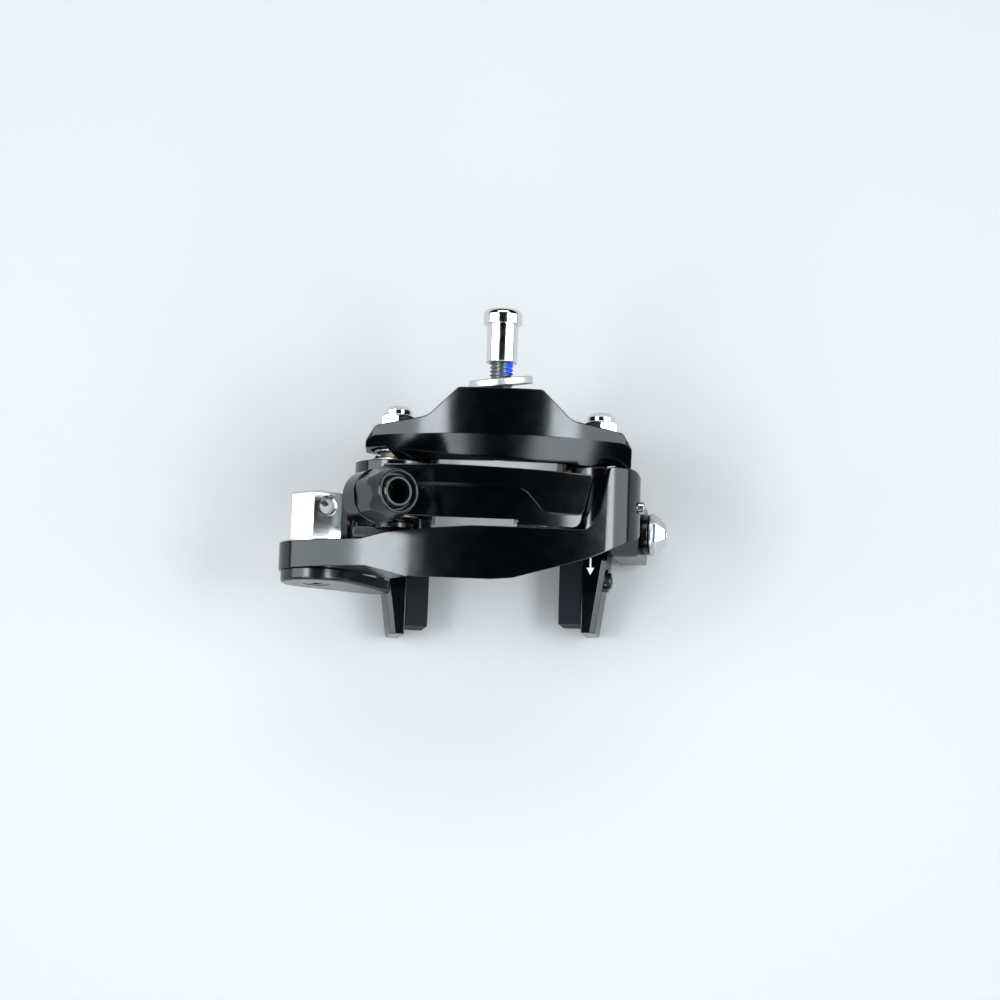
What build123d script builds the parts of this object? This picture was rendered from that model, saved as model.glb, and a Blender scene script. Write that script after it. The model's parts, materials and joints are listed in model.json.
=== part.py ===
from build123d import *
from math import atan2, cos, degrees, hypot, pi, radians, sin, sqrt, tan
import os

os.makedirs("parts", exist_ok=True)

# Frame, in millimetres: the origin is on the centre bolt's axis, in the seat face that meets the
# bicycle. The centre bolt points to +Y, +Z is up, and +X is the side of the arm that crosses in front.
# A depth is a distance forwards from the seat face, so a point at depth d has Y = -d.

# Clearances
thread_clearance = 0.05
running_clearance = 0.05
slot_clearance = 0.15
wire_clearance = 0.2
face_clearance = 0.1

# Centre bolt, sleeve nut and loose washer
bolt_radius = 3.0
bolt_reach = 15.6
bolt_head_radius = 5.0
bolt_head_height = 4.2
bolt_key = 5.0
bolt_key_depth = 2.6
bolt_recess = 2.0
sleeve_start = 7.6
sleeve_radius = 4.0
sleeve_length = 10.0
sleeve_head_radius = 5.0
sleeve_head_length = 3.9
sleeve_thread_depth = 9.0
sleeve_key = 5.0
sleeve_key_depth = 3.2
washer_radius = 8.2
washer_hole_radius = 3.5
washer_thickness = 2.0
washer_tilt = 7.0
washer_lean = 8.0
washer_gap = 0.3
washer_bevel = 0.25

# Pivots
pivot_spread = 26.0
pivot_drop = -8.0
pivot_bolt_radius = 2.5
bush_radius = 4.2
pivot_bolt_head_radius = 5.0
pivot_bolt_head_height = 2.3
pivot_key = 4.0
pivot_key_depth = 1.7
dome_nut_flats = 8.0
dome_nut_hex_height = 3.8
dome_nut_height = 6.1
dome_nut_collar_radius = 3.6
dome_nut_wall = 1.2

# Back plate
seat_half_width = 10.7
plate_half_width = 34.0
plate_front = 18.2
plate_crown = 9.0
plate_under = -5.0
plate_end_radius = 9.5
nut_seat_depth = 9.4
nut_seat_radius = 5.7
spring_pocket_depth = 12.6
band_start = 11.8
band_drop = 3.2
relief_start = 14.6
relief_x = -28.8
lean_half_width = 15.0
front_lean = 9.0

# Return springs, wound round the pivot bushes in the plate's pockets
spring_wire = 1.0
spring_radius = 5.2
spring_turns = 2
spring_leg = 1.6
spring_plate_radius = 6.5
spring_plate_thickness = 1.2

# Arms
arm_rear = plate_front + face_clearance
boss_front = 33.0
left_boss_radius = 10.5
right_boss_radius = 9.0
shoulder_radius = 10.7
open_angle = 9.5

# Legs, measured from the pivot: down the leg, and outwards from the pivot's axis
leg_thickness = 6.6
leg_offset = 3.4
leg_width = 14.8
leg_tip = 5.3
leg_corner = 3.0
leg_flare = 22.0
shoe_position = 38.0
shoe_raise = 7.0
shoe_lower = 3.0
shoe_depth = 29.2
left_leg_forward = 1.9

# Synchronising roller
roller_x = 12.0
roller_z = -0.4
roller_radius = 3.25
roller_pin_radius = 1.5
roller_rear = 27.0
roller_gap = 0.4
roller_travel = 6.5
roller_pin_grip = 4.0

# Front arm: the web and its eye for the quick release
web_rear = 34.8
web_front = 48.4
roller_front = web_rear - roller_gap
web_top = 4.6
web_lean = 8.0
eye_x = -45.6
eye_z = -18.0
eye_radius = 10.0
eye_rear = 38.3
eye_front = 45.3

# Quick release and cable anchor
shaft_radius = 6.0
pin_radius = 2.5
pin_throw = 1.2
lever_disc_radius = 9.4
lever_thickness = 3.0
lever_end_x = -31.6
lever_end_z = -32.6
lever_end_radius = 4.6
lever_screw_radius = 1.5
lever_screw_head_radius = 3.4
lever_screw_head_height = 1.4
lever_screw_depth = 5.0
lever_screw_key = 2.5
lever_edge = 0.8
anchor_flats = 13.2
anchor_length = 12.5
anchor_lean = 20.0
anchor_washer_radius = 8.8
anchor_washer_thickness = 0.8
anchor_pin_stop = 31.8
cable_depth = 28.8
cable_hole_radius = 2.0
cable_hole_mouth_radius = 2.5
clamp_screw_radius = 2.5
clamp_screw_end = 26.8
clamp_key = 2.5

# Barrel adjuster
adjuster_x = -33.0
adjuster_z = 4.0
adjuster_lean = 29.0
adjuster_boss_radius = 6.9
adjuster_boss_low = 0.0
adjuster_boss_high = 6.0
knob_top = 17.6
knob_radius = 6.9
knob_flats = 12.6
knob_rim_radius = 5.65
knob_mouth_radius = 4.9
knob_mouth_depth = 2.2
barrel_radius = 4.0
barrel_low = -4.6
barrel_top = 17.4
housing_radius = 3.1
housing_depth = 8.0
inner_wire_radius = 1.1

# Centring screw in the right shoulder
centring_screw_radius = 1.6
centring_screw_depth = 27.4
centring_screw_z = -6.0
centring_screw_inner = 31.8
centring_screw_outer = 37.8
centring_key = 1.5
centring_key_depth = 1.4

# Brake shoes, measured outwards from the middle of the leg
stud_radius = 3.0
stud_fit = 0.02
stud_head_flats = 7.0
stud_head_height = 2.2
cup_washer_radius = 5.3
cup_washer_thickness = 2.0
flat_washer_radius = 5.6
flat_washer_thickness = 0.8
inner_washer_radius = 5.2
inner_washer_thickness = 1.15
cone_nut_flats = 8.6
cone_nut_tip_flats = 4.2
cone_nut_skirt = 0.9
cone_nut_height = 3.1
cone_key = 2.5
cone_key_depth = 1.6
shoe_length = 53.4
holder_height = 11.0
holder_thickness = 6.4
holder_end_thickness = 3.6
rim_radius = 311.0
pad_thickness = 6.0
pad_end_gap = 2.3
holder_edge = 1.2
channel_height = 7.6
channel_depth = 1.9
pad_screw_position = -12.4
pad_screw_boss_radius = 3.0
pad_screw_boss_height = 0.7
pad_screw_radius = 1.3
pad_screw_head_radius = 2.2

# The two views that carve an arm or the plate reach past the whole caliper
view_reach = 2 * max(plate_half_width, web_front)


def front_plane(depth, centre=(0, 0)):
    """A sketch plane seen from the front: X to the right, Z up, and depth along its normal."""
    return Plane(origin=(centre[0], -depth, centre[1]), x_dir=(1, 0, 0), z_dir=(0, -1, 0))


def turned(outline, axis_plane):
    """A round piece: each point of its outline is a radius and a place along the axis."""
    half = Plane(origin=axis_plane.origin, x_dir=axis_plane.x_dir, z_dir=-axis_plane.y_dir)
    with BuildPart() as piece:
        with BuildSketch(half):
            with BuildLine():
                Polyline(*outline, close=True)
            make_face()
        revolve(axis=Axis(axis_plane.origin, axis_plane.z_dir))
    return piece.part


def ring(outer, inner, start, end, axis_plane, bevel=0.0):
    """A sleeve or washer from start to end, with both outer corners bevelled."""
    outline = [(inner, start), (outer - bevel, start), (outer, start + bevel)]
    outline += [(outer, end - bevel), (outer - bevel, end), (inner, end)]
    distinct = [point for i, point in enumerate(outline) if point != outline[i - 1]]
    return turned(distinct, axis_plane)


def rod(radius, start, end, axis_plane, bevel=0.0):
    """A solid pin from start to end, bevelled at its far end."""
    outline = [(0, start), (radius, start), (radius, end - bevel)]
    if bevel:
        outline.append((radius - bevel, end))
    outline.append((0, end))
    return turned(outline, axis_plane)


def hex_bar(flats, start, end, axis_plane, rotation=0.0, taper=0.0):
    """A hexagonal bar or socket from start to end along the axis."""
    with BuildPart() as piece:
        with BuildSketch(axis_plane.offset(start)):
            RegularPolygon(radius=flats / 2, side_count=6, major_radius=False, rotation=rotation)
        extrude(amount=end - start, taper=taper)
    return piece.part


def carved(plan, front):
    """The solid that has one sketch as its plan and the other as its front view."""
    with BuildPart() as piece:
        extrude(plan, amount=view_reach, both=True)
        extrude(front, amount=view_reach, mode=Mode.INTERSECT)
    return piece.part


def plan_view(points, radii):
    """A plan from corners of X and depth, each with its own rounding."""
    with BuildSketch() as view:
        with BuildLine():
            FilletPolyline(*[(x, -depth) for x, depth in points], radius=radii, close=True)
        make_face()
    return view.sketch


def write(piece, name):
    """Label one finished piece and write it to its own file."""
    piece.label = name
    export_step(piece, f"parts/{name}.step")


def write_pair(piece, name):
    """Write a right-hand piece, and its mirror image as the left-hand one."""
    write(piece, f"{name}_right")
    write(mirror(piece, about=Plane.YZ), f"{name}_left")


pivot_right = (pivot_spread, pivot_drop)
pivot_left = (-pivot_spread, pivot_drop)
bolt_axis = Plane(origin=(0, 0, 0), x_dir=(1, 0, 0), z_dir=(0, 1, 0))
pivot_axis = front_plane(0, pivot_right)
pivot_back_axis = Plane(origin=pivot_axis.origin, x_dir=(1, 0, 0), z_dir=(0, 1, 0))

# Centre bolt: its head is sunk in the front of the plate
bolt_head_depth = plate_front - bolt_recess
with BuildPart() as centre_bolt:
    add(rod(bolt_radius, -bolt_head_depth, bolt_reach, bolt_axis, bevel=0.6))
    add(rod(bolt_head_radius, -bolt_head_depth, bolt_head_height - bolt_head_depth, bolt_axis))
    key_floor = bolt_key_depth - bolt_head_depth
    add(hex_bar(bolt_key, -bolt_head_depth, key_floor, bolt_axis), mode=Mode.SUBTRACT)
write(centre_bolt.part, "centre_bolt")

# Sleeve nut with a domed head and a socket for a hexagon key
sleeve_end = sleeve_start + sleeve_length
sleeve_tip = sleeve_end + sleeve_head_length
with BuildPart() as sleeve_nut:
    add(rod(sleeve_radius, sleeve_start, sleeve_end, bolt_axis))
    add(rod(sleeve_head_radius, sleeve_end, sleeve_tip, bolt_axis))
    fillet(sleeve_nut.edges().group_by(Axis.Y)[-1], 1.5)
    chamfer(sleeve_nut.edges().group_by(Axis.Y)[0], 0.3)
    thread_end = sleeve_start + sleeve_thread_depth
    add(rod(bolt_radius + thread_clearance, sleeve_start, thread_end, bolt_axis), mode=Mode.SUBTRACT)
    add(hex_bar(sleeve_key, sleeve_tip - sleeve_key_depth, sleeve_tip, bolt_axis), mode=Mode.SUBTRACT)
write(sleeve_nut.part, "sleeve_nut")

# Loose washer, tilted on the bolt with one edge against the seat face
half_washer = washer_thickness / 2
washer_way = Vector(-tan(radians(washer_tilt)), 1, tan(radians(washer_lean))).normalized()
washer_slope = sqrt(1 - washer_way.Y**2)
washer_lift = washer_radius * washer_slope + half_washer * washer_way.Y + washer_gap
washer_axis = Plane(origin=(0, washer_lift, 0), z_dir=washer_way)
washer_faces = (-half_washer, half_washer)
write(ring(washer_radius, washer_hole_radius, *washer_faces, washer_axis, bevel=washer_bevel), "mount_washer")

# Back plate: an arch between the two pivots
arch_radius = (pivot_spread**2 + (plate_crown - pivot_drop) ** 2 - plate_end_radius**2) / (
    2 * (plate_crown - pivot_drop - plate_end_radius)
)
arch_centre = plate_crown - arch_radius
under_rise = plate_under - pivot_drop
under_reach = plate_end_radius + under_rise
under_radius = (pivot_spread**2 + under_rise**2 - plate_end_radius**2) / (2 * under_reach)
under_centre = plate_under - under_radius


def toward_pivot(centre_z, distance):
    """The point at a distance from (0, centre_z) on its line to the right pivot."""
    run, rise = pivot_spread, pivot_drop - centre_z
    length = hypot(run, rise)
    return (run * distance / length, centre_z + rise * distance / length)


crown_x, crown_z = toward_pivot(arch_centre, arch_radius)
under_x, under_z = toward_pivot(under_centre, under_radius)
with BuildSketch(Plane.XZ) as plate_front_view:
    with BuildLine():
        ThreePointArc((-crown_x, crown_z), (0, plate_crown), (crown_x, crown_z))
        end_x = pivot_spread + plate_end_radius
        ThreePointArc((crown_x, crown_z), (end_x, pivot_drop), (under_x, under_z))
        ThreePointArc((under_x, under_z), (0, plate_under), (-under_x, under_z))
        ThreePointArc((-under_x, under_z), (-end_x, pivot_drop), (-crown_x, crown_z))
    make_face()

wire_bend = spring_wire
wire_room = spring_wire / 2 + wire_clearance
spring_start = spring_pocket_depth + wire_room
spring_hole_end = spring_start - wire_bend - spring_leg - wire_clearance
spring_pocket_radius = spring_plate_radius + wire_clearance
plate_side = [
    (seat_half_width, 0),
    (18.4, 7.4),
    (31.6, 9.3),
    (plate_half_width, 13.0),
    (plate_half_width, plate_front),
]
plate_plan = [(-x, depth) for x, depth in reversed(plate_side)] + plate_side
plate_radii = [0.8, 1.5, 1.5, 6.0, 1.6]
# The middle of the front face leans back towards its underside, from the foot of the band
lean_top = arch_centre + sqrt(arch_radius**2 - lean_half_width**2) - band_drop
lean_bottom = plate_under - plate_end_radius
lean_shift = (lean_top - lean_bottom) * tan(radians(front_lean))
with BuildPart() as back_plate:
    add(carved(plan_view(plate_plan, plate_radii + plate_radii[::-1]), plate_front_view.sketch))
    # The lighter band: a slope round the top of the front face, concentric with the arch
    band_slope = band_drop / (plate_front - band_start)
    band_reach = plate_front + 1
    band_outline = [
        (arch_radius, band_start),
        (arch_radius + 3, band_start),
        (arch_radius + 3, band_reach),
        (arch_radius - band_slope * (band_reach - band_start), band_reach),
    ]
    add(turned(band_outline, front_plane(0, (0, arch_centre))), mode=Mode.SUBTRACT)
    with BuildSketch(Plane.YZ):
        with BuildLine():
            Polyline(
                (-plate_front, lean_top),
                (lean_shift - plate_front, lean_bottom),
                (-band_reach, lean_bottom),
                (-band_reach, lean_top),
                close=True,
            )
        make_face()
    extrude(amount=lean_half_width, both=True, mode=Mode.SUBTRACT)
    # Left end cut back, so that the spring and its plate show
    relief_run = band_reach - relief_start
    relief = [
        (-2 * plate_half_width, relief_start),
        (relief_x, relief_start),
        (relief_x + relief_run, band_reach),
        (-2 * plate_half_width, band_reach),
    ]
    extrude(plan_view(relief, 0.4), amount=view_reach, both=True, mode=Mode.SUBTRACT)
    add(rod(bolt_radius + thread_clearance, -1, plate_front, front_plane(0)), mode=Mode.SUBTRACT)
    head_seat = bolt_head_depth - bolt_head_height
    head_room = bolt_head_radius + wire_clearance
    add(rod(head_room, head_seat, band_reach, front_plane(0)), mode=Mode.SUBTRACT)
    for pivot in (pivot_left, pivot_right):
        axis = front_plane(0, pivot)
        add(rod(pivot_bolt_radius + thread_clearance, 0, plate_front, axis), mode=Mode.SUBTRACT)
        add(rod(nut_seat_radius, 0, nut_seat_depth, axis), mode=Mode.SUBTRACT)
        add(rod(spring_pocket_radius, spring_pocket_depth, band_reach, axis), mode=Mode.SUBTRACT)
        wire_side = spring_radius if pivot is pivot_right else -spring_radius
        wire_end = front_plane(0, (pivot[0] + wire_side, pivot_drop))
        add(rod(wire_room, spring_hole_end, plate_front, wire_end), mode=Mode.SUBTRACT)
write(back_plate.part, "back_plate")

# Return spring: a wound wire whose two ends turn to run along the pivot
plate_start = arm_rear - spring_plate_thickness
spring_finish = plate_start - wire_room
spring_sweep = 2 * pi * spring_turns
spring_rise = (spring_finish - spring_start) / spring_sweep


def coil_place(angle):
    """A point of the coil round the right pivot."""
    depth = spring_start + spring_rise * angle
    return end_place(angle, depth)


def coil_way(angle):
    """The direction of the wire at that point."""
    way = Vector(-spring_radius * sin(angle), spring_radius * cos(angle), spring_rise)
    return (pivot_axis.from_local_coords(way) - pivot_axis.origin).normalized()


def end_place(angle, depth):
    """A point of a straight end of the wire."""
    local = Vector(spring_radius * cos(angle), spring_radius * sin(angle), depth)
    return pivot_axis.from_local_coords(local)


def biarc(start, start_way, end, end_way):
    """Two tangent arcs that join one place and direction to the next."""
    chord = end - start
    along = chord.dot(start_way + end_way)
    spread = 2 * (1 - start_way.dot(end_way))
    reach = (sqrt(along**2 + spread * chord.dot(chord)) - along) / spread
    first = start + start_way * reach
    second = end - end_way * reach
    middle = (first + second) / 2
    TangentArc(start, middle, tangent=start_way)
    TangentArc(middle, end, tangent=second - first)


forwards = Vector(0, -1, 0)
bend_angle = wire_bend / spring_radius
coil_steps = round(4 * spring_turns)
coil_sweep = spring_sweep - 2 * bend_angle
coil_angles = [bend_angle + coil_sweep * i / coil_steps for i in range(coil_steps + 1)]
fixed_bend = end_place(0, spring_start - wire_bend)
moving_bend = end_place(spring_sweep, spring_finish + wire_bend)
with BuildPart() as return_spring:
    with BuildLine() as wire_path:
        Line(fixed_bend - forwards * spring_leg, fixed_bend)
        biarc(fixed_bend, forwards, coil_place(coil_angles[0]), coil_way(coil_angles[0]))
        for a, b in zip(coil_angles, coil_angles[1:]):
            biarc(coil_place(a), coil_way(a), coil_place(b), coil_way(b))
        biarc(coil_place(coil_angles[-1]), coil_way(coil_angles[-1]), moving_bend, forwards)
        Line(moving_bend, moving_bend + forwards * spring_leg)
    with BuildSketch(Plane(origin=fixed_bend - forwards * spring_leg, z_dir=forwards)):
        Circle(spring_wire / 2)
    sweep()
write_pair(return_spring.part, "return_spring")

# The least gap of the wire to itself, away from its own neighbourhood
wire = wire_path.wires()[0]
steps = 400
places = [wire.position_at(i / steps) for i in range(steps + 1)]
apart = int(3 * pi * spring_wire / wire.length * steps)
gaps = [(places[i] - places[j]).length for i in range(steps) for j in range(i + apart, steps + 1)]
print("return spring: least gap to itself", round(min(gaps) - spring_wire, 2))
print("return spring: volume over section times length",
      round(return_spring.part.volume / (pi * spring_wire**2 / 4 * wire.length), 3))

# Pivot bolts, bushes, dome nuts and spring plates
bolt_head_start = boss_front + face_clearance
bolt_head_end = bolt_head_start + pivot_bolt_head_height
dome_nut_tip = nut_seat_depth - dome_nut_height
with BuildPart() as pivot_bolt:
    add(rod(pivot_bolt_radius, dome_nut_tip + dome_nut_wall + face_clearance, bolt_head_end, pivot_axis))
    bolt_head = (pivot_bolt_head_radius, pivot_bolt_radius, bolt_head_start, bolt_head_end)
    add(ring(*bolt_head, pivot_axis, bevel=0.5))
    socket = hex_bar(pivot_key, bolt_head_end - pivot_key_depth, bolt_head_end, pivot_axis)
    add(socket, mode=Mode.SUBTRACT)
write_pair(pivot_bolt.part, "pivot_bolt")

bolt_room = pivot_bolt_radius + thread_clearance
write_pair(ring(bush_radius, bolt_room, spring_pocket_depth, bolt_head_start, pivot_axis), "pivot_bush")

with BuildPart() as dome_nut:
    hex_start = nut_seat_depth - dome_nut_hex_height
    half_nut = dome_nut_flats / 2
    add(hex_bar(dome_nut_flats, hex_start, nut_seat_depth, pivot_axis, rotation=30))
    corner_cone = [(0, hex_start), (half_nut, hex_start), (half_nut + 1, hex_start + 0.8)]
    corner_cone += [(half_nut + 1, nut_seat_depth), (0, nut_seat_depth)]
    add(turned(corner_cone, pivot_axis), mode=Mode.INTERSECT)
    # A round collar stands on the hexagon and closes over the bolt's end
    collar = rod(dome_nut_collar_radius, -hex_start, -dome_nut_tip, pivot_back_axis, bevel=1.0)
    add(collar)
    add(rod(bolt_room, dome_nut_tip + dome_nut_wall, nut_seat_depth, pivot_axis), mode=Mode.SUBTRACT)
write_pair(dome_nut.part, "dome_nut")

bush_room = bush_radius + running_clearance
wire_hole_axis = front_plane(0, (pivot_spread + spring_radius, pivot_drop))
wire_hole = rod(wire_room, plate_start, arm_rear + spring_leg, wire_hole_axis)
with BuildPart() as spring_plate:
    add(ring(spring_plate_radius, bush_room, plate_start, arm_rear, pivot_axis, bevel=0.2))
    add(wire_hole, mode=Mode.SUBTRACT)
write_pair(spring_plate.part, "spring_plate")

# The leg hangs from the pivot and leans out by the angle at which the arms stand open
outwards = Vector(cos(radians(open_angle)), 0, sin(radians(open_angle)))
downwards = Vector(sin(radians(open_angle)), 0, -cos(radians(open_angle)))
pivot_point = Vector(pivot_spread, 0, pivot_drop)


def leg_point(out, down):
    """A corner of the leg in the front view."""
    place = pivot_point + outwards * out + downwards * down
    return (place.X, place.Z)


leg_outer = leg_offset + leg_thickness / 2
leg_inner = leg_offset - leg_thickness / 2
leg_side = Plane(origin=pivot_point, x_dir=(0, -1, 0), z_dir=outwards)
leg_rear_edge = shoe_depth - leg_width / 2
leg_front_edge = shoe_depth + leg_width / 2
leg_end = shoe_position + shoe_lower + leg_tip
straight_start = shoe_position - shoe_raise - cup_washer_radius - face_clearance
with BuildSketch(Plane.XZ) as leg_front_view:
    with BuildLine():
        Polyline(
            leg_point(shoulder_radius - 1.0, 0),
            leg_point(shoulder_radius - 0.6, 4),
            leg_point(leg_outer + 2.2, 14),
            leg_point(leg_outer, straight_start),
            leg_point(leg_outer, leg_end),
            leg_point(leg_inner, leg_end),
            leg_point(leg_inner, straight_start - 1),
            leg_point(leg_inner - 2.6, 14),
            leg_point(1.5 - right_boss_radius, 4),
            leg_point(2.5 - right_boss_radius, 0),
            close=True,
        )
    make_face()
with BuildPart() as leg:
    with BuildSketch(leg_side):
        with BuildLine():
            FilletPolyline(
                (arm_rear + 2.4, 0),
                (arm_rear + 2.4, 10),
                (leg_rear_edge, leg_flare),
                (leg_rear_edge, leg_end),
                (leg_front_edge, leg_end),
                (leg_front_edge, leg_flare + 4),
                (boss_front - 0.4, leg_flare - 4),
                (boss_front - 0.4, 0),
                radius=[0.1, 6, 8, leg_corner, leg_corner, 4, 6, 0.1],
                close=True,
            )
        make_face()
    extrude(amount=view_reach / 2, both=True)
    extrude(leg_front_view.sketch, amount=view_reach, mode=Mode.INTERSECT)

shoe_middle = pivot_point + outwards * leg_offset + downwards * shoe_position - Vector(0, shoe_depth, 0)


def shoe_slot(centre, way):
    """The slot in a leg along which the shoe is set higher or lower, as a solid."""
    with BuildPart() as slot:
        with BuildSketch(Plane(origin=centre, x_dir=(0, 1, 0), z_dir=way)):
            slot_width = 2 * (stud_radius + slot_clearance)
            SlotCenterToCenter(shoe_raise + shoe_lower, slot_width, rotation=90)
        extrude(amount=leg_thickness, both=True)
    return slot.part


slot_middle = shoe_middle + downwards * (shoe_lower - shoe_raise) / 2
left_slot_middle = Vector(-slot_middle.X, slot_middle.Y - left_leg_forward, slot_middle.Z)


def left_handed(piece):
    """The left side's copy of a leg or of a shoe's piece, which stands further forward."""
    return mirror(piece, about=Plane.YZ).moved(Location((0, -left_leg_forward, 0)))


def write_shoe_pair(piece, name):
    """Write a right-hand shoe's piece and its left-handed copy."""
    write(piece, f"{name}_right")
    write(left_handed(piece), f"{name}_left")


# Front arm: shoulder on the right pivot, web across the front, eye at the left
def on_circle(centre, radius, angle):
    """The point of a circle in the front view at an angle from +X."""
    return (centre[0] + radius * cos(radians(angle)), centre[1] + radius * sin(radians(angle)))


eye = (eye_x, eye_z)
crown_end = (-34.0, -1.2)
under_start = (-31.0, -17.0)
with BuildSketch(Plane.XZ) as web_front_view:
    with BuildLine():
        crown = ThreePointArc(on_circle(pivot_right, shoulder_radius, 80), (-3.0, web_top), crown_end)
        TangentArc(crown_end, on_circle(eye, eye_radius, 125), tangent=crown % 1)
        ThreePointArc(*[on_circle(eye, eye_radius, angle) for angle in (125, 215, -50)])
        Line(on_circle(eye, eye_radius, -50), under_start)
        ThreePointArc(under_start, (-4.0, -7.0), on_circle(pivot_right, shoulder_radius, 228))
        ThreePointArc(*[on_circle(pivot_right, shoulder_radius, angle) for angle in (228, -26, 80)])
    make_face()

web_corners = [
    ((-58.0, eye_rear), 0.3),
    ((-34.4, eye_rear), 2.0),
    ((-27.8, 36.6), 2.0),
    ((-18.0, 35.6), 8.0),
    ((-6.0, web_rear), 10.0),
    ((23.6, web_rear), 3.2),
    ((26.6, 28.8), 4.0),
    ((28.6, arm_rear), 0.3),
    ((pivot_spread + shoulder_radius + 0.3, arm_rear), 3.0),
    ((pivot_spread + shoulder_radius + 0.3, 35.4), 3.0),
    ((33.0, 38.3), 3.0),
    ((24.0, 42.3), 8.0),
    ((4.6, 47.9), 6.0),
    ((-1.0, web_front), 6.0),
    ((-21.5, web_front), 12.0),
    ((-33.4, eye_front), 4.0),
    ((-58.0, eye_front), 0.3),
]
web_plan = plan_view([corner for corner, _ in web_corners], [radius for _, radius in web_corners])
# The web's front leans back towards its underside, and stands upright at the eye
lean_limit = [(-60.0, -20.0), (60.0, -20.0), (60.0, 26.3), (24.0, 42.3), (4.6, 47.9), (-1.0, web_front)]
lean_limit += [(-21.5, web_front), (-60.0, 56.9)]
with BuildPart() as leaning_front:
    with BuildSketch(Plane(origin=(0, 0, web_top + 0.1), x_dir=(1, 0, 0), z_dir=(0, 0, -1))):
        with BuildLine():
            Polyline(*lean_limit, close=True)
        make_face()
    extrude(amount=web_top - eye_z + 2 * eye_radius, taper=web_lean)
tunnel_radius = pivot_bolt_head_radius + 0.4
roller_axis = front_plane(0, (roller_x, roller_z))
eye_axis = front_plane(0, eye)
centring_place = (0, -centring_screw_depth, centring_screw_z)
centring_axis = Plane(origin=centring_place, x_dir=(0, 1, 0), z_dir=(1, 0, 0))
roller_pin_end = web_rear + roller_pin_grip
with BuildPart() as front_arm:
    add(carved(web_plan, web_front_view.sketch))
    add(leaning_front.part, mode=Mode.INTERSECT)
    add(rod(right_boss_radius, arm_rear, web_rear + 0.6, pivot_axis))
    add(leg.part)
    add(rod(bush_room, arm_rear - 1, boss_front, pivot_axis), mode=Mode.SUBTRACT)
    add(rod(tunnel_radius, boss_front, view_reach, pivot_axis), mode=Mode.SUBTRACT)
    add(wire_hole, mode=Mode.SUBTRACT)
    add(rod(shaft_radius + running_clearance, 0, view_reach, eye_axis), mode=Mode.SUBTRACT)
    add(rod(roller_pin_radius, web_rear - 1, roller_pin_end, roller_axis), mode=Mode.SUBTRACT)
    screw_room = centring_screw_radius + thread_clearance
    add(rod(screw_room, centring_screw_inner, view_reach, centring_axis), mode=Mode.SUBTRACT)
    add(shoe_slot(slot_middle, outwards), mode=Mode.SUBTRACT)
write(front_arm.part, "front_arm")

# Centring screw
with BuildPart() as centring_screw:
    screw_start = centring_screw_inner + face_clearance
    add(rod(centring_screw_radius, screw_start, centring_screw_outer, centring_axis, bevel=0.3))
    key_floor = centring_screw_outer - centring_key_depth
    socket = hex_bar(centring_key, key_floor, centring_screw_outer, centring_axis)
    add(socket, mode=Mode.SUBTRACT)
write(centring_screw.part, "centring_screw")

# Synchronising roller on its headed pin
roller_start = roller_rear + 0.1
with BuildPart() as roller_pin:
    add(rod(roller_pin_radius, roller_rear - 0.6, roller_pin_end, roller_axis))
    add(rod(roller_pin_radius + 0.8, roller_rear - 0.6, roller_rear, roller_axis))
write(roller_pin.part, "roller_pin")
roller_bore = roller_pin_radius + running_clearance
write(ring(roller_radius, roller_bore, roller_start, roller_front, roller_axis, bevel=0.4), "sync_roller")

# Left arm: boss on the left pivot, a high rib and a lower ledge across the middle, and a lobe over
# the roller at the right end
rib_radius = 90.0
rib_centre = (-1.0, 9.2 - rib_radius)
rib_slope = 0.3
ledge_drop = 3.6
ledge_front = 33.1
rib_rear = 19.8
lobe_front = web_rear - roller_gap
rib_plan = plan_view(
    [
        (-29.0, rib_rear),
        (-14.0, rib_rear + 0.1),
        (24.2, 21.0),
        (22.0, 31.1),
        (12.2, 31.1),
        (6.6, 25.0),
        (-20.0, 24.6),
        (-29.0, 27.5),
    ],
    [0.5, 20.0, 0.8, 2.0, 3.5, 4.5, 4.0, 0.5],
)
ledge_plan = plan_view(
    [
        (-29.0, rib_rear),
        (9.0, 20.4),
        (23.4, 21.2),
        (21.2, lobe_front),
        (4.4, lobe_front),
        (6.6, ledge_front),
        (-12.0, ledge_front),
        (-29.0, ledge_front - 1.0),
    ],
    [0.5, 20.0, 0.8, 2.5, 0.3, 0.4, 20.0, 0.5],
)
lobe_end = 25.0
lobe_low = -2.8
ledge_low = -14.0
ledge_lean_start = -16.0
ledge_lean_end = 4.4


def web_front_face(top_radius):
    """The left arm's web in the front view, below a round top."""
    with BuildSketch(Plane.XZ) as view:
        with BuildLine():
            ThreePointArc((-18.0, -13.5), (1.0, -4.2), (14.0, lobe_low))
            Polyline((14.0, lobe_low), (lobe_end, lobe_low), (lobe_end, 12.0), (-31.0, 12.0))
            Polyline((-31.0, 12.0), (-31.0, -2.0), (-18.0, -13.5))
        make_face()
        with Locations(rib_centre):
            Circle(top_radius, mode=Mode.INTERSECT)
    return view.sketch


# The rib's round top falls towards the front
wedge_reach = boss_front - rib_rear
rib_wedge = [
    (rib_radius, rib_rear),
    (rib_radius + 1, rib_rear),
    (rib_radius + 1, boss_front),
    (rib_radius - rib_slope * wedge_reach, boss_front),
]
with BuildPart() as rib:
    add(carved(rib_plan, web_front_face(rib_radius)))
    add(turned(rib_wedge, front_plane(0, rib_centre)), mode=Mode.SUBTRACT)


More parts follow.
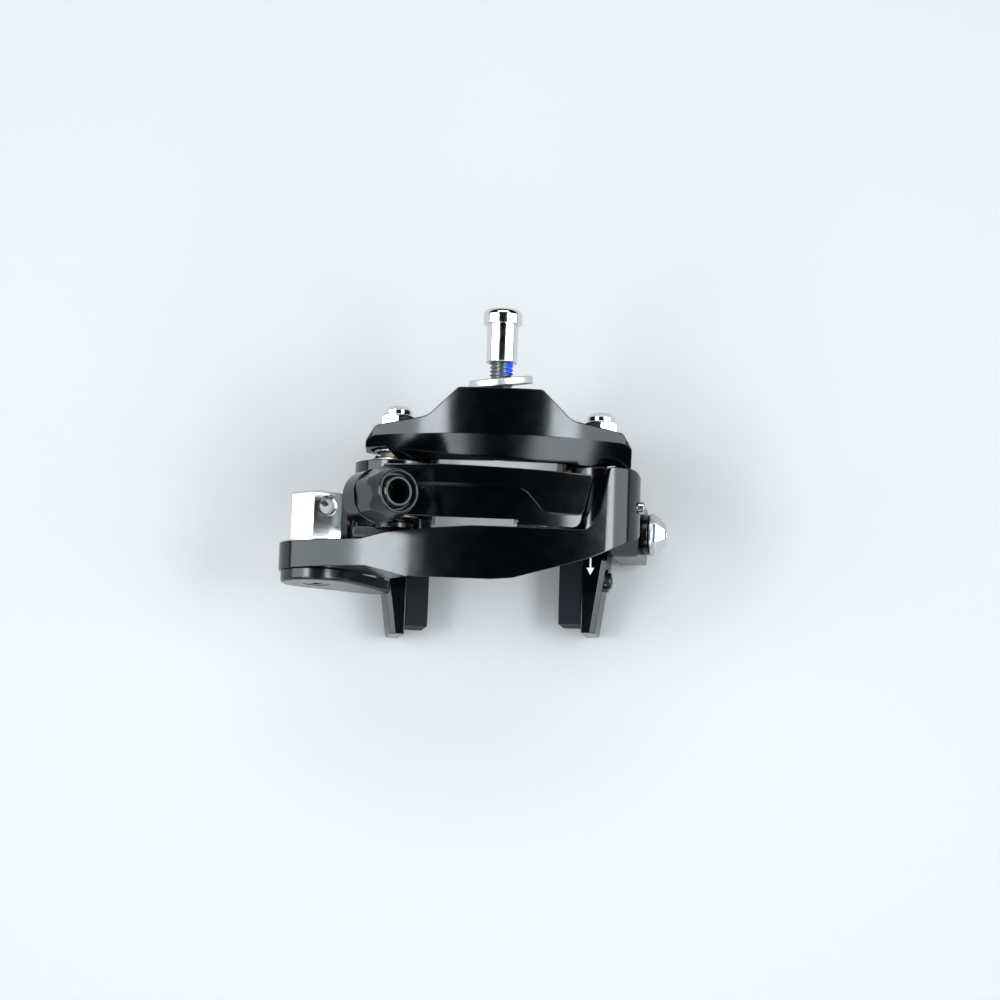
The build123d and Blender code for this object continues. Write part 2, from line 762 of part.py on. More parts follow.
# The ledge's front leans back towards its underside, as the plate's does
ledge_top = rib_centre[1] + rib_radius - ledge_drop
ledge_shift = (ledge_top - ledge_low) * tan(radians(front_lean))
with BuildPart() as ledge:
    add(carved(ledge_plan, web_front_face(rib_radius - ledge_drop)))
    with BuildSketch(Plane.YZ.offset(ledge_lean_start)):
        with BuildLine():
            Polyline(
                (-ledge_front, ledge_top),
                (ledge_shift - ledge_front, ledge_low),
                (-ledge_front - 1, ledge_low),
                (-ledge_front - 1, ledge_top),
                close=True,
            )
        make_face()
    extrude(amount=ledge_lean_end - ledge_lean_start, mode=Mode.SUBTRACT)

adjuster_way = (sin(radians(adjuster_lean)), 0, cos(radians(adjuster_lean)))
adjuster_axis = Plane(origin=(adjuster_x, -cable_depth, adjuster_z), x_dir=(0, -1, 0), z_dir=adjuster_way)
left_axis = front_plane(0, pivot_left)
# While both arms close by the same angle, the roller runs down a straight line of the left arm
run_x = roller_z - pivot_drop
run_z = -roller_x
run_angle = degrees(atan2(run_z, run_x))
run_share = roller_travel / 2 / hypot(run_x, run_z)
run_middle = (roller_x + run_x * run_share, roller_z + run_z * run_share)
run_start = roller_rear - 0.8
with BuildPart() as left_arm:
    add(rod(left_boss_radius, arm_rear, boss_front, left_axis))
    add(rib.part)
    add(ledge.part)
    add(left_handed(leg.part))
    add(rod(adjuster_boss_radius, adjuster_boss_low, adjuster_boss_high, adjuster_axis))
    add(rod(bush_room, arm_rear - 1, view_reach, left_axis), mode=Mode.SUBTRACT)
    add(rod(tunnel_radius, boss_front, view_reach, left_axis), mode=Mode.SUBTRACT)
    add(mirror(wire_hole, about=Plane.YZ), mode=Mode.SUBTRACT)
    # The barrel's hole goes right through the boss and the arm below it
    barrel_room = barrel_radius + running_clearance
    add(rod(barrel_room, barrel_low - 6, barrel_top, adjuster_axis), mode=Mode.SUBTRACT)
    add(rod(right_boss_radius + 0.6, 0, view_reach, pivot_axis), mode=Mode.SUBTRACT)
    with BuildSketch(front_plane(run_start)):
        with Locations(run_middle):
            SlotCenterToCenter(roller_travel, 2 * (roller_radius + 0.3), rotation=run_angle)
    extrude(amount=view_reach, mode=Mode.SUBTRACT)
    left_outwards = Vector(-outwards.X, 0, outwards.Z)
    add(shoe_slot(left_slot_middle, left_outwards), mode=Mode.SUBTRACT)
write(left_arm.part, "left_arm")

# Quick release: a shaft in the eye, with an off-centre pin behind and a lever in front
anchor = (eye_x, eye_z - pin_throw)
anchor_axis = front_plane(0, anchor)
lever_start = eye_front + face_clearance
lever_end = lever_start + lever_thickness
anchor_front = eye_rear - face_clearance - anchor_washer_thickness
anchor_rear = anchor_front - anchor_length
shaft_hole_end = lever_start - lever_screw_depth
lever_screw_room = lever_screw_radius + thread_clearance
with BuildPart() as eccentric_shaft:
    add(rod(shaft_radius, eye_rear, lever_start, eye_axis))
    add(rod(pin_radius, anchor_pin_stop, eye_rear, anchor_axis))
    add(rod(lever_screw_room, shaft_hole_end, lever_start, eye_axis), mode=Mode.SUBTRACT)
write(eccentric_shaft.part, "eccentric_shaft")

head_seat = lever_end - lever_screw_head_height - face_clearance
with BuildPart() as lever_screw:
    add(rod(lever_screw_radius, shaft_hole_end + 0.3, head_seat + lever_screw_head_height, eye_axis))
    add(rod(lever_screw_head_radius, head_seat, head_seat + lever_screw_head_height, eye_axis))
    key_floor = head_seat + 0.2
    head_end = head_seat + lever_screw_head_height
    add(hex_bar(lever_screw_key, key_floor, head_end, eye_axis), mode=Mode.SUBTRACT)
write(lever_screw.part, "lever_screw")

with BuildPart() as quick_release_lever:
    with BuildSketch(front_plane(lever_start)):
        with BuildSketch(front_plane(lever_start), mode=Mode.PRIVATE) as lever_rounds:
            with Locations(eye):
                Circle(lever_disc_radius)
            with Locations((lever_end_x, lever_end_z)):
                Circle(lever_end_radius)
        make_hull(lever_rounds.sketch_local.edges())
    extrude(amount=lever_thickness)
    fillet(quick_release_lever.edges().group_by(Axis.Y)[0], lever_edge)
    add(rod(lever_screw_room, lever_start, lever_end, eye_axis), mode=Mode.SUBTRACT)
    lever_head_room = lever_screw_head_radius + thread_clearance
    add(rod(lever_head_room, head_seat, lever_end, eye_axis), mode=Mode.SUBTRACT)
write(quick_release_lever.part, "quick_release_lever")

# Cable anchor: a hexagonal drum, with a cross hole for the cable and a screw that clamps it
hole_way = (sin(radians(anchor_lean)), 0, cos(radians(anchor_lean)))
cable_axis = Plane(origin=(anchor[0], -cable_depth, anchor[1]), x_dir=(0, -1, 0), z_dir=hole_way)
mouth_depth = cable_hole_mouth_radius - cable_hole_radius
half_flats = anchor_flats / 2
mouth = [(0, half_flats - mouth_depth), (cable_hole_radius, half_flats - mouth_depth)]
mouth += [(cable_hole_mouth_radius, half_flats), (cable_hole_mouth_radius, half_flats + 1)]
mouth += [(0, half_flats + 1)]
with BuildPart() as anchor_drum:
    add(hex_bar(anchor_flats, anchor_rear, anchor_front, anchor_axis, rotation=-anchor_lean))
    chamfer(anchor_drum.edges().group_by(Axis.Y)[-1], 0.5)
    pin_hole_end = anchor_pin_stop - wire_clearance
    add(rod(pin_radius + running_clearance, pin_hole_end, anchor_front, anchor_axis), mode=Mode.SUBTRACT)
    clamp_room = clamp_screw_radius + thread_clearance
    add(rod(clamp_room, anchor_rear, cable_depth - 1, anchor_axis), mode=Mode.SUBTRACT)
    add(rod(cable_hole_radius, -anchor_flats, anchor_flats, cable_axis), mode=Mode.SUBTRACT)
    add(turned(mouth, cable_axis), mode=Mode.SUBTRACT)
    add(turned([(r, -z) for r, z in mouth], cable_axis), mode=Mode.SUBTRACT)
write(anchor_drum.part, "anchor_drum")

washer_bore = pin_radius + running_clearance
washer_end = anchor_front + anchor_washer_thickness
anchor_washer = ring(anchor_washer_radius, washer_bore, anchor_front, washer_end, anchor_axis, bevel=0.15)
write(anchor_washer, "anchor_washer")

with BuildPart() as clamp_screw:
    add(rod(clamp_screw_radius, anchor_rear - 0.6, clamp_screw_end, anchor_axis, bevel=0.3))
    add(hex_bar(clamp_key, anchor_rear - 0.6, anchor_rear + 0.7, anchor_axis), mode=Mode.SUBTRACT)
write(clamp_screw.part, "clamp_screw")

# Barrel adjuster: a knob that turns on the boss, and a threaded barrel that it moves
knob_start = adjuster_boss_high + face_clearance
knob_shoulder = knob_start + 6.5
with BuildPart() as adjuster_knob:
    knob_outline = [(0, knob_start), (knob_radius - 0.5, knob_start), (knob_radius, knob_start + 0.5)]
    knob_outline += [(knob_radius, knob_shoulder), (knob_rim_radius, knob_top - 0.3)]
    knob_outline += [(knob_rim_radius - 0.3, knob_top), (0, knob_top)]
    add(turned(knob_outline, adjuster_axis))
    add(hex_bar(knob_flats, knob_start, knob_top, adjuster_axis, rotation=8), mode=Mode.INTERSECT)
    add(rod(knob_radius - 1.0, knob_start, knob_start + 1.2, adjuster_axis))
    add(rod(barrel_radius + running_clearance, knob_start, knob_top, adjuster_axis), mode=Mode.SUBTRACT)
    add(rod(knob_mouth_radius, knob_top - knob_mouth_depth, knob_top, adjuster_axis), mode=Mode.SUBTRACT)
write(adjuster_knob.part, "adjuster_knob")

with BuildPart() as adjuster_barrel:
    add(ring(barrel_radius, inner_wire_radius, barrel_low, barrel_top, adjuster_axis, bevel=0.3))
    add(rod(housing_radius, barrel_top - housing_depth, barrel_top, adjuster_axis), mode=Mode.SUBTRACT)
write(adjuster_barrel.part, "adjuster_barrel")

# Brake shoe of the right side: X along the shoe to the rear, Y up the leg, and the normal outwards
shoe_axis = Plane(origin=shoe_middle, x_dir=(0, 1, 0), z_dir=outwards)
shoe_plan_plane = Plane(origin=shoe_middle, x_dir=(0, 1, 0), z_dir=downwards)
leg_half = leg_thickness / 2
stud_room = stud_radius + running_clearance
cup_end = leg_half + cup_washer_thickness
flat_end = cup_end + flat_washer_thickness
nut_end = flat_end + cone_nut_height
inner_middle = -leg_half - inner_washer_thickness
holder_outer = inner_middle - inner_washer_thickness
holder_inner = holder_outer - holder_thickness
pad_inner = holder_inner - pad_thickness
stud_end = flat_end + 1.2
stud_start = holder_outer - 3.4

cup_outline = [(stud_room, leg_half), (cup_washer_radius, leg_half), (cup_washer_radius, cup_end - 0.5)]
cup_outline += [(cup_washer_radius - 0.5, cup_end), (stud_room, cup_end)]
write_shoe_pair(turned(cup_outline, shoe_axis), "cup_washer")
flat_washer = ring(flat_washer_radius, stud_room, cup_end, flat_end, shoe_axis, bevel=0.15)
write_shoe_pair(flat_washer, "flat_washer")
inner_cup = ring(inner_washer_radius, stud_room, inner_middle, -leg_half, shoe_axis, bevel=0.15)
write_shoe_pair(inner_cup, "inner_cup_washer")
dome_outline = [(stud_room, holder_outer), (inner_washer_radius - 1.4, holder_outer)]
dome_outline += [(inner_washer_radius - 0.4, inner_middle), (stud_room, inner_middle)]
write_shoe_pair(turned(dome_outline, shoe_axis), "inner_dome_washer")

with BuildPart() as cone_nut:
    add(hex_bar(cone_nut_flats, flat_end, flat_end + cone_nut_skirt, shoe_axis))
    cone_rise = cone_nut_height - cone_nut_skirt
    cone_taper = degrees(atan2((cone_nut_flats - cone_nut_tip_flats) / 2, cone_rise))
    add(hex_bar(cone_nut_flats, flat_end + cone_nut_skirt, nut_end, shoe_axis, taper=cone_taper))
    add(rod(stud_room, flat_end, stud_end + 0.2, shoe_axis), mode=Mode.SUBTRACT)
    add(hex_bar(cone_key, nut_end - cone_key_depth, nut_end, shoe_axis), mode=Mode.SUBTRACT)
write_shoe_pair(cone_nut.part, "cone_nut")

with BuildPart() as shoe_stud:
    add(rod(stud_radius, stud_start, stud_end, shoe_axis, bevel=0.4))
    add(hex_bar(stud_head_flats, stud_start, stud_start + stud_head_height, shoe_axis))
write_shoe_pair(shoe_stud.part, "shoe_stud")


def shoe_face(length, height, start):
    """A strip that follows the rim, in a plane square to the stud."""
    with BuildSketch(shoe_axis.offset(start)) as face:
        Rectangle(length, height * 2)
        with Locations((0, -rim_radius)):
            Circle(rim_radius + height / 2, mode=Mode.INTERSECT)
            Circle(rim_radius - height / 2, mode=Mode.SUBTRACT)
    return face.sketch


half_shoe = shoe_length / 2
flank_start = inner_washer_radius + 2.6
flank_drop = holder_thickness - holder_end_thickness
flank_share = (-pad_screw_position - flank_start) / (half_shoe - flank_start)
screw_seat = holder_outer - flank_drop * flank_share + pad_screw_boss_height
channel_floor = holder_inner + channel_depth
channel_stop = -half_shoe + 4.0
screw_place = shoe_axis.from_local_coords(Vector(pad_screw_position, 0, 0))
screw_axis = Plane(origin=screw_place, x_dir=(0, 1, 0), z_dir=outwards)
rim_sag = half_shoe**2 / (2 * rim_radius)


def along_shoe(start, end, height, inner, outer):
    """A straight bar along the shoe, used for the pad's channel and tongue."""
    with BuildPart() as bar:
        with BuildSketch(shoe_axis.offset(inner)):
            with Locations(((start + end) / 2, -rim_sag / 2)):
                Rectangle(end - start, height)
        extrude(amount=outer - inner)
    return bar.part


def on_outer_face(edge):
    """Whether an edge runs along the shoe on the holder's outer side."""
    middle = shoe_axis.to_local_coords(edge.center())
    return edge.length > holder_height + 1 and middle.Z > holder_outer - flank_drop


with BuildPart() as pad_holder:
    extrude(shoe_face(shoe_length, holder_height, holder_inner), amount=holder_thickness)
    for end in (-1, 1):
        with BuildSketch(shoe_plan_plane):
            with BuildLine():
                Polyline(
                    (end * flank_start, holder_outer),
                    (end * half_shoe, holder_outer - flank_drop),
                    (end * (half_shoe + 1), holder_outer + 2),
                    (end * flank_start, holder_outer + 2),
                    close=True,
                )
            make_face()
        extrude(amount=holder_height * 2, both=True, mode=Mode.SUBTRACT)
    chamfer([edge for edge in pad_holder.edges() if on_outer_face(edge)], holder_edge)
    add(rod(pad_screw_boss_radius, holder_inner + 3, screw_seat, screw_axis))
    channel = along_shoe(channel_stop, half_shoe + 1, channel_height, holder_inner, channel_floor)
    add(channel, mode=Mode.SUBTRACT)
    add(rod(stud_radius + stud_fit, holder_inner, holder_outer + 1, shoe_axis), mode=Mode.SUBTRACT)
    pocket_flats = stud_head_flats + 2 * stud_fit
    pocket_end = stud_start + stud_head_height + stud_fit
    add(hex_bar(pocket_flats, holder_inner, pocket_end, shoe_axis), mode=Mode.SUBTRACT)
    add(rod(pad_screw_radius + stud_fit, holder_inner, screw_seat, screw_axis), mode=Mode.SUBTRACT)
write_shoe_pair(pad_holder.part, "pad_holder")

pad_length = shoe_length - 2 * pad_end_gap
with BuildPart() as brake_pad:
    extrude(shoe_face(pad_length, holder_height - 0.8, pad_inner), amount=pad_thickness)
    tongue_end = channel_floor - 0.1
    add(along_shoe(channel_stop + 0.3, pad_length / 2, channel_height - 0.3, holder_inner, tongue_end))
    screw_room = pad_screw_radius + slot_clearance
    add(rod(screw_room, holder_inner - 1.0, channel_floor, screw_axis), mode=Mode.SUBTRACT)
write_shoe_pair(brake_pad.part, "brake_pad")

with BuildPart() as pad_screw:
    head_top = screw_seat + 0.8
    add(rod(pad_screw_radius, holder_inner - 0.8, screw_seat, screw_axis))
    add(rod(pad_screw_head_radius, screw_seat, head_top, screw_axis, bevel=0.4))
    add(hex_bar(2.0, head_top - 0.7, head_top, screw_axis), mode=Mode.SUBTRACT)
write_shoe_pair(pad_screw.part, "pad_screw")
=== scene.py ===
import json
import math
import bpy
from mathutils import Matrix, Vector


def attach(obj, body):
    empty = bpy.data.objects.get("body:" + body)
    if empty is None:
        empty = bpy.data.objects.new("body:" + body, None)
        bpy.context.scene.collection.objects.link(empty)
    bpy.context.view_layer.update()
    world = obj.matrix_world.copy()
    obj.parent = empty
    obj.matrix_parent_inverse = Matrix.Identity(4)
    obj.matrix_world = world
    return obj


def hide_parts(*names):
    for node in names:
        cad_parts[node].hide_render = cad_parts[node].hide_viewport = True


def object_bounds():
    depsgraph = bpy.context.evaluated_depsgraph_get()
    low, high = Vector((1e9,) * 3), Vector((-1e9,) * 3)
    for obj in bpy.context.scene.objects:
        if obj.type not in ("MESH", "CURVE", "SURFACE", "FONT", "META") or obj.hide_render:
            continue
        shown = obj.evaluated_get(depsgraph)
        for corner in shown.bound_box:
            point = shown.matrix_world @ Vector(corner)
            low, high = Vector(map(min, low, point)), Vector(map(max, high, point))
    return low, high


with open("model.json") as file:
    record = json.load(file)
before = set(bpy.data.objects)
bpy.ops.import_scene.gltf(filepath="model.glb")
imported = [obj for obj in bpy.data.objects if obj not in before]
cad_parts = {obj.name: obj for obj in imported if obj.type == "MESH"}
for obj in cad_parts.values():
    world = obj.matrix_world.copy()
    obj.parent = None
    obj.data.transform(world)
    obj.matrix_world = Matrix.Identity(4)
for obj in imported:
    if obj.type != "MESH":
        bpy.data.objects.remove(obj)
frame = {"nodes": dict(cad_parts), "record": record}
box_at_start = [list(corner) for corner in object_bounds()]
nodes = frame["nodes"]
scene = bpy.context.scene
MM = 0.001


# Node helpers

def start_material(name):
    """An empty material with a Principled shader, and its node tree."""
    material = bpy.data.materials.new(name)
    material.use_nodes = True
    tree = material.node_tree
    return material, tree, tree.nodes["Principled BSDF"]


def add_node(tree, kind, inputs=None, **settings):
    """A node with its settings, and its inputs set from constants or linked from sockets."""
    made = tree.nodes.new(kind)
    for key, value in settings.items():
        setattr(made, key, value)
    for key, value in (inputs or {}).items():
        if isinstance(value, bpy.types.NodeSocket):
            tree.links.new(value, made.inputs[key])
        else:
            made.inputs[key].default_value = value
    return made


def place(tree):
    """The place on the object, in metres, with the piece at rest."""
    return add_node(tree, "ShaderNodeTexCoord").outputs["Object"]


def noise(tree, scale, detail=2.0):
    """Noise over the object, with its scale in waves per metre."""
    inputs = {"Vector": place(tree), "Scale": scale, "Detail": detail}
    return add_node(tree, "ShaderNodeTexNoise", inputs).outputs["Fac"]


def spread(tree, value, low, high, start=0.3, end=0.7):
    """A value from start to end, mapped to low to high."""
    inputs = {"Value": value, "From Min": start, "From Max": end, "To Min": low, "To Max": high}
    return add_node(tree, "ShaderNodeMapRange", inputs).outputs["Result"]


def mixed(tree, share, first, second):
    """Two colours mixed by a share."""
    mix = add_node(tree, "ShaderNodeMix", data_type="RGBA")
    for key, value in ((0, share), (6, first), (7, second)):
        if isinstance(value, bpy.types.NodeSocket):
            tree.links.new(value, mix.inputs[key])
        else:
            mix.inputs[key].default_value = value
    return mix.outputs[2]


def worked_out(tree, operation, first, second=0.0):
    """One sum on two numbers."""
    made = add_node(tree, "ShaderNodeMath", {0: first, 1: second}, operation=operation)
    return made.outputs[0]


def surface(tree, shader, roundness, height=None, strength=0.1, distance=0.00002):
    """Rounded edges, and a fine relief over them."""
    edge = add_node(tree, "ShaderNodeBevel", {"Radius": roundness}, samples=8).outputs["Normal"]
    if height is not None:
        inputs = {"Height": height, "Normal": edge, "Strength": strength, "Distance": distance}
        edge = add_node(tree, "ShaderNodeBump", inputs).outputs["Normal"]
    tree.links.new(edge, shader.inputs["Normal"])


def paint_base(tree, shader):
    """Black paint with the faint relief of a sprayed coat."""
    shader.inputs["Base Color"].default_value = (0.0004, 0.0006, 0.001, 1)
    shader.inputs["Specular IOR Level"].default_value = 0.5
    tree.links.new(spread(tree, noise(tree, 240), 0.13, 0.17), shader.inputs["Roughness"])
    surface(tree, shader, 0.0004, noise(tree, 1800, 3.0), 0.05)


# Materials

def black_paint():
    material, tree, shader = start_material("black_paint")
    paint_base(tree, shader)
    return material


def holder_paint():
    """Black paint with the shoe's direction arrow on top."""
    material, tree, shader = start_material("holder_paint")
    paint_base(tree, shader)
    apart = add_node(tree, "ShaderNodeSeparateXYZ", {"Vector": place(tree)}).outputs
    across = worked_out(tree, "ABSOLUTE", worked_out(tree, "SUBTRACT", apart["X"], 0.0251))
    shaft = worked_out(tree, "LESS_THAN", across, 0.00022)
    ahead = worked_out(tree, "MULTIPLY", shaft, worked_out(tree, "LESS_THAN", apart["Y"], -0.0358))
    shaft = worked_out(tree, "MULTIPLY", ahead, worked_out(tree, "GREATER_THAN", apart["Y"], -0.0394))
    depth = worked_out(tree, "ADD", apart["Y"], 0.0407)
    width = worked_out(tree, "MULTIPLY", depth, 0.52)
    head = worked_out(tree, "LESS_THAN", across, width)
    head = worked_out(tree, "MULTIPLY", head, worked_out(tree, "LESS_THAN", depth, 0.0019))
    arrow = worked_out(tree, "MAXIMUM", shaft, head)
    facing = add_node(tree, "ShaderNodeNewGeometry").outputs["True Normal"]
    up = add_node(tree, "ShaderNodeSeparateXYZ", {"Vector": facing}).outputs["Z"]
    arrow = worked_out(tree, "MULTIPLY", arrow, worked_out(tree, "GREATER_THAN", up, 0.5))
    colour = mixed(tree, arrow, (0.0004, 0.0006, 0.001, 1), (0.8, 0.82, 0.84, 1))
    tree.links.new(colour, shader.inputs["Base Color"])
    return material


def black_satin():
    material, tree, shader = start_material("black_satin")
    shader.inputs["Base Color"].default_value = (0.002, 0.0025, 0.0035, 1)
    tree.links.new(spread(tree, noise(tree, 300), 0.2, 0.26), shader.inputs["Roughness"])
    surface(tree, shader, 0.0003, noise(tree, 2600, 3.0), 0.1)
    return material


def dark_grey():
    material, tree, shader = start_material("dark_grey")
    shader.inputs["Base Color"].default_value = (0.004, 0.005, 0.007, 1)
    tree.links.new(spread(tree, noise(tree, 260), 0.22, 0.28), shader.inputs["Roughness"])
    surface(tree, shader, 0.0006, noise(tree, 2600, 3.0), 0.1)
    return material


def plated_steel():
    material, tree, shader = start_material("plated_steel")
    shader.inputs["Metallic"].default_value = 1.0
    colour = mixed(tree, noise(tree, 180), (0.62, 0.63, 0.645, 1), (0.74, 0.75, 0.76, 1))
    tree.links.new(colour, shader.inputs["Base Color"])
    tree.links.new(spread(tree, noise(tree, 500), 0.1, 0.17), shader.inputs["Roughness"])
    surface(tree, shader, 0.0003, noise(tree, 3000, 2.0), 0.05)
    return material


def anchor_steel():
    material, tree, shader = start_material("anchor_steel")
    shader.inputs["Metallic"].default_value = 1.0
    shader.inputs["Base Color"].default_value = (0.66, 0.67, 0.68, 1)
    tree.links.new(spread(tree, noise(tree, 420), 0.18, 0.22), shader.inputs["Roughness"])
    surface(tree, shader, 0.0004, noise(tree, 5000, 3.0), 0.03)
    return material


def washer_steel():
    material, tree, shader = start_material("washer_steel")
    shader.inputs["Metallic"].default_value = 1.0
    grain = noise(tree, 4200, 4.0)
    colour = mixed(tree, grain, (0.5, 0.5, 0.5, 1), (0.72, 0.72, 0.71, 1))
    tree.links.new(colour, shader.inputs["Base Color"])
    tree.links.new(spread(tree, grain, 0.28, 0.45), shader.inputs["Roughness"])
    surface(tree, shader, 0.0002, grain, 0.35)
    return material


def bolt_steel():
    material, tree, shader = start_material("bolt_steel")
    shader.inputs["Metallic"].default_value = 1.0
    shader.inputs["Base Color"].default_value = (0.42, 0.43, 0.45, 1)
    tree.links.new(spread(tree, noise(tree, 600), 0.2, 0.32), shader.inputs["Roughness"])
    surface(tree, shader, 0.0002, noise(tree, 4000, 3.0), 0.1)
    return material


def thread_steel():
    """Dark steel with a darker head, and a blue patch of thread lock on the thread's right side."""
    material, tree, shader = start_material("thread_steel")
    apart = add_node(tree, "ShaderNodeSeparateXYZ", {"Vector": place(tree)}).outputs
    ragged = spread(tree, noise(tree, 900, 4.0), -0.0009, 0.0009)
    side = worked_out(tree, "ADD", apart["X"], ragged)
    patch = worked_out(tree, "GREATER_THAN", side, 0.0012)
    start = worked_out(tree, "ADD", apart["Y"], ragged)
    patch = worked_out(tree, "MULTIPLY", patch, worked_out(tree, "GREATER_THAN", start, 0.0045))
    head = worked_out(tree, "LESS_THAN", apart["Y"], -0.01)
    metal = mixed(tree, head, (0.24, 0.25, 0.27, 1), (0.05, 0.05, 0.055, 1))
    colour = mixed(tree, patch, metal, (0.004, 0.09, 0.66, 1))
    tree.links.new(colour, shader.inputs["Base Color"])
    tree.links.new(worked_out(tree, "SUBTRACT", 1.0, patch), shader.inputs["Metallic"])
    tree.links.new(spread(tree, patch, 0.28, 0.5, 0.0, 1.0), shader.inputs["Roughness"])
    return material


def spring_steel():
    material, tree, shader = start_material("spring_steel")
    shader.inputs["Metallic"].default_value = 1.0
    shader.inputs["Base Color"].default_value = (0.3, 0.3, 0.31, 1)
    tree.links.new(spread(tree, noise(tree, 900), 0.25, 0.4), shader.inputs["Roughness"])
    return material


def bush_bronze():
    material, tree, shader = start_material("bush_bronze")
    shader.inputs["Metallic"].default_value = 1.0
    shader.inputs["Base Color"].default_value = (0.1, 0.075, 0.05, 1)
    tree.links.new(spread(tree, noise(tree, 900), 0.3, 0.45), shader.inputs["Roughness"])
    return material


def plate_steel():
    """Duller steel of the spring plates."""
    material, tree, shader = start_material("plate_steel")
    shader.inputs["Metallic"].default_value = 1.0
    shader.inputs["Base Color"].default_value = (0.22, 0.22, 0.23, 1)
    tree.links.new(spread(tree, noise(tree, 900), 0.3, 0.4), shader.inputs["Roughness"])
    return material


def roller_plastic():
    material, tree, shader = start_material("roller_plastic")
    shader.inputs["Base Color"].default_value = (0.03, 0.03, 0.033, 1)
    tree.links.new(spread(tree, noise(tree, 600), 0.4, 0.5), shader.inputs["Roughness"])
    return material


def pad_rubber():
    material, tree, shader = start_material("pad_rubber")
    shader.inputs["Base Color"].default_value = (0.002, 0.003, 0.005, 1)
    shader.inputs["Specular IOR Level"].default_value = 0.2
    grain = noise(tree, 2500, 5.0)
    tree.links.new(spread(tree, grain, 0.5, 0.65), shader.inputs["Roughness"])
    surface(tree, shader, 0.0004, grain, 0.35)
    return material


finishes = {
    "black_paint": black_paint(),
    "black_satin": black_satin(),
    "dark_grey": dark_grey(),
    "chrome": plated_steel(),
    "bolt_steel": bolt_steel(),
    "washer_steel": washer_steel(),
    "spring_steel": spring_steel(),
    "bush_bronze": bush_bronze(),
    "roller_plastic": roller_plastic(),
    "pad_rubber": pad_rubber(),
}
spring_plate_finish = plate_steel()
own_finish = {
    "anchor_drum": anchor_steel(),
    "pad_holder_right": holder_paint(),
    "spring_plate_left": spring_plate_finish,
    "spring_plate_right": spring_plate_finish,
}
for part in frame["record"]["subparts"]:
    name = part["node"]
    node = nodes[name]
    node.data.materials.clear()
    node.data.materials.append(own_finish.get(name) or finishes[part["material_slot"]])


# The centre bolt with its real thread

def hexagon(turn, flats):
    """The radius of a hexagon at a share of a turn."""
    angle = math.radians((turn * 360) % 60 - 30)
    return flats / 2 / math.cos(angle)


def threaded_bolt():
    """The bolt's head with its socket, its shank, and an M6 thread along its rear end."""
    pitch = 1.0
    crest, root = 3.0, 2.42
    head_front, head_rear, head_radius = -16.2, -12.0, 5.0
    socket_floor, socket_flats = -13.6, 5.0
    start, end, bevel = -2.0, 15.6, 0.7
    around, along = 48, 16
    turns = [j / around for j in range(around)]
    rows = [
        [(socket_floor, 0.05)] * around,
        [(socket_floor, hexagon(turn, socket_flats)) for turn in turns],
        [(head_front, hexagon(turn, socket_flats)) for turn in turns],
        [(head_front, head_radius - 0.3)] * around,
        [(head_front + 0.3, head_radius)] * around,
        [(head_rear, head_radius)] * around,
        [(head_rear, crest)] * around,
        [(start, crest)] * around,
    ]
    count = round((end - start) / pitch * along)
    for i in range(1, count + 1):
        y = start + (end - start) * i / count
        room = crest - root
        if y > end - bevel:
            room = room * (end - y) / bevel
        row = []
        for turn in turns:
            phase = (y / pitch - turn) % 1.0
            wave = min(1.0, max(0.0, (abs(phase - 0.5) * 2 - 0.12) / 0.75))
            row.append((y, root + min(room, (crest - root) * wave)))
        rows.append(row)
    verts = []
    for row in rows:
        for turn, (y, radius) in zip(turns, row):
            angle = 2 * math.pi * turn
            verts.append((radius * MM * math.cos(angle), y * MM, radius * MM * math.sin(angle)))
    faces = []
    for i in range(len(rows) - 1):
        for j in range(around):
            k = (j + 1) % around
            faces.append((i * around + j, (i + 1) * around + j, (i + 1) * around + k, i * around + k))
    faces.append(tuple(range((len(rows) - 1) * around, len(rows) * around))[::-1])
    faces.append(tuple(range(around)))
    mesh = bpy.data.meshes.new("centre_bolt_threaded")
    mesh.from_pydata(verts, [], faces)
    mesh.shade_smooth()
    mesh.set_sharp_from_angle(angle=math.radians(40))
    piece = bpy.data.objects.new("centre_bolt_threaded", mesh)
    scene.collection.objects.link(piece)
    return piece


# Floor, lights and camera

def floor_paper_painted_falloff():
    """Pale paper, with painted shade standing in for light falloff: a little darker away from the object.
    """
    material, tree, shader = start_material("floor_paper_painted_falloff")
    apart = add_node(tree, "ShaderNodeSeparateXYZ", {"Vector": place(tree)}).outputs
    across = worked_out(tree, "POWER", apart["X"], 2.0)
    along = worked_out(tree, "POWER", worked_out(tree, "ADD", apart["Y"], 0.03), 2.0)
    reach = worked_out(tree, "SQRT", worked_out(tree, "ADD", across, along))
    share = spread(tree, reach, 0.0, 1.0, 0.06, 0.19)
    # Painted shade: the floor colour darkens with distance from the object, in place of light falloff.
    colour = mixed(tree, share, (0.418, 0.411, 0.411, 1), (0.386, 0.383, 0.384, 1))
    tree.links.new(colour, shader.inputs["Base Color"])
    shader.inputs["Roughness"].default_value = 0.7
    shader.inputs["Specular IOR Level"].default_value = 0.2
    return material


floor_mesh = bpy.data.meshes.new("floor")
side = 3.0
floor_z = box_at_start[0][2] - 0.0003
corners = [(-side, -side, floor_z), (side, -side, floor_z), (side, side, floor_z), (-side, side, floor_z)]
floor_mesh.from_pydata(corners, [], [(0, 1, 2, 3)])
floor = bpy.data.objects.new("floor", floor_mesh)
scene.collection.objects.link(floor)
floor.data.materials.append(floor_paper_painted_falloff())


def softbox(name, spot, aim, width, height, power, colour=(1, 1, 1)):
    """A rectangular soft light aimed at a point."""
    light = bpy.data.lights.new(name, "AREA")
    light.shape = "RECTANGLE"
    light.size = width
    light.size_y = height
    light.energy = power
    light.color = colour
    lamp = bpy.data.objects.new(name, light)
    lamp.visible_camera = False
    lamp.location = spot
    lamp.rotation_mode = "QUATERNION"
    lamp.rotation_quaternion = (Vector(aim) - Vector(spot)).to_track_quat("-Z", "Y")
    scene.collection.objects.link(lamp)
    return lamp


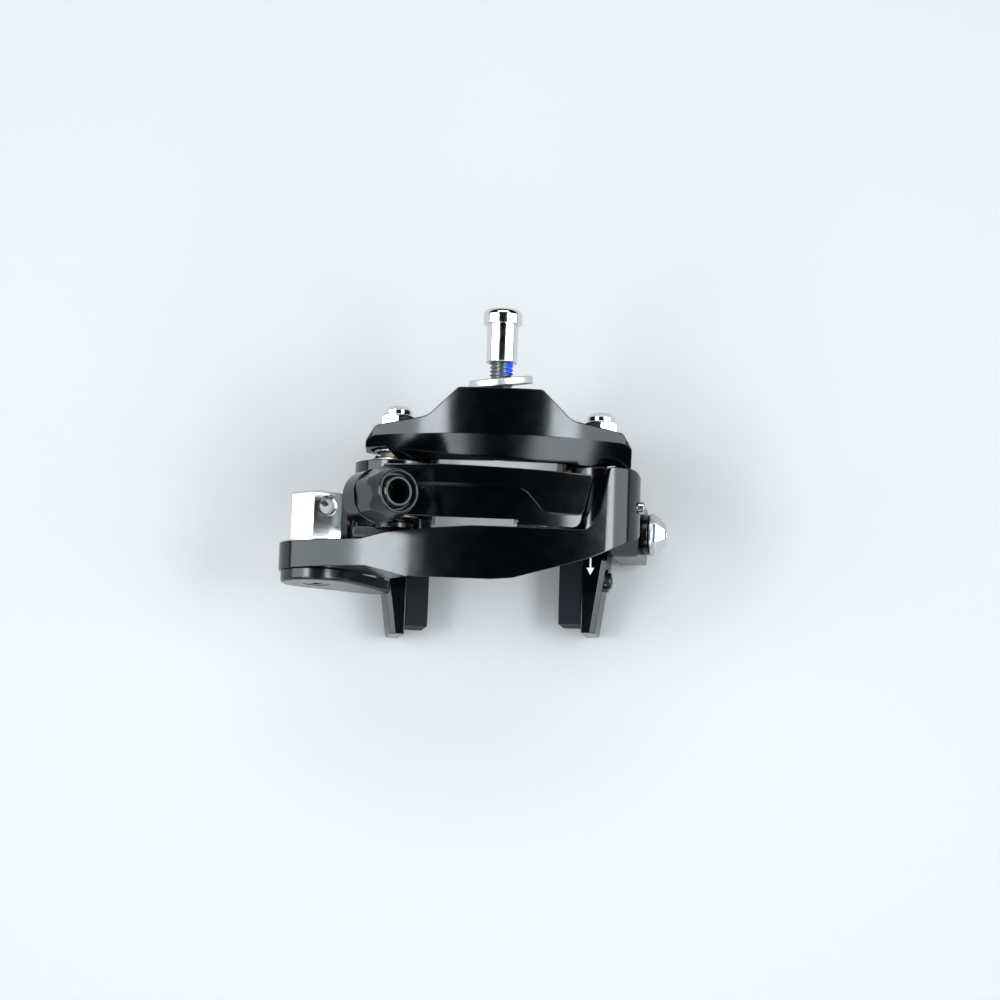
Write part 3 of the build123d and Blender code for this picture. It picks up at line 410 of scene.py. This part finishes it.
middle = (0, -0.03, 0)
cool = (0.86, 0.95, 1.0)
softbox("light_left", (-0.74, -0.03, 0.5), middle, 0.55, 1.0, 8.0, cool)
softbox("light_right", (0.74, -0.03, 0.5), middle, 0.55, 1.0, 7.0, cool)
softbox("light_front_left", (-0.42, -0.62, 0.5), middle, 0.62, 0.3, 3.2, cool)
softbox("light_front_right", (0.42, -0.62, 0.5), middle, 0.62, 0.3, 3.2, cool)
softbox("light_top_left", (-0.55, -0.03, 0.8), middle, 0.5, 0.26, 4.5, cool)
softbox("light_top_right", (0.55, -0.03, 0.8), middle, 0.5, 0.26, 4.5, cool)
softbox("light_back", (0.0, 0.75, 0.8), (0, 0, 0), 1.2, 0.4, 6.5)

world = bpy.data.worlds.new("studio")
scene.world = world
world.use_nodes = True
sky = world.node_tree
backdrop = sky.nodes["Background"]
path = add_node(sky, "ShaderNodeLightPath")
seen = mixed(sky, path.outputs["Is Glossy Ray"], (0.76, 0.82, 0.87, 1), (0.004, 0.005, 0.008, 1))
sky.links.new(seen, backdrop.inputs["Color"])
backdrop.inputs["Strength"].default_value = 0.2

camera_data = bpy.data.cameras.new("camera")
camera_data.lens = 177.0
camera_data.sensor_width = 36.0
camera = bpy.data.objects.new("camera", camera_data)
scene.collection.objects.link(camera)
target = Vector((0.0008, -0.0275, 0.0))
camera_distance = 1.25
camera_roll = math.radians(2.0)
raised = math.radians(82)
back = Vector((0, -math.cos(raised), math.sin(raised)))
camera.rotation_mode = "QUATERNION"
camera.location = target + back * camera_distance
aimed = (-back).to_track_quat("-Z", "Y").to_matrix().to_4x4()
rolled = aimed @ Matrix.Rotation(camera_roll, 4, "Z")
camera.rotation_quaternion = rolled.to_quaternion()
camera_data.clip_start = 0.05
camera_data.clip_end = 20.0
scene.camera = camera

scene.view_settings.view_transform = "Standard"
scene.render.resolution_x = 1000
scene.render.resolution_y = 1000

bolt = threaded_bolt()
bolt.data.materials.append(thread_steel())
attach(bolt, "bridge")
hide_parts("centre_bolt")
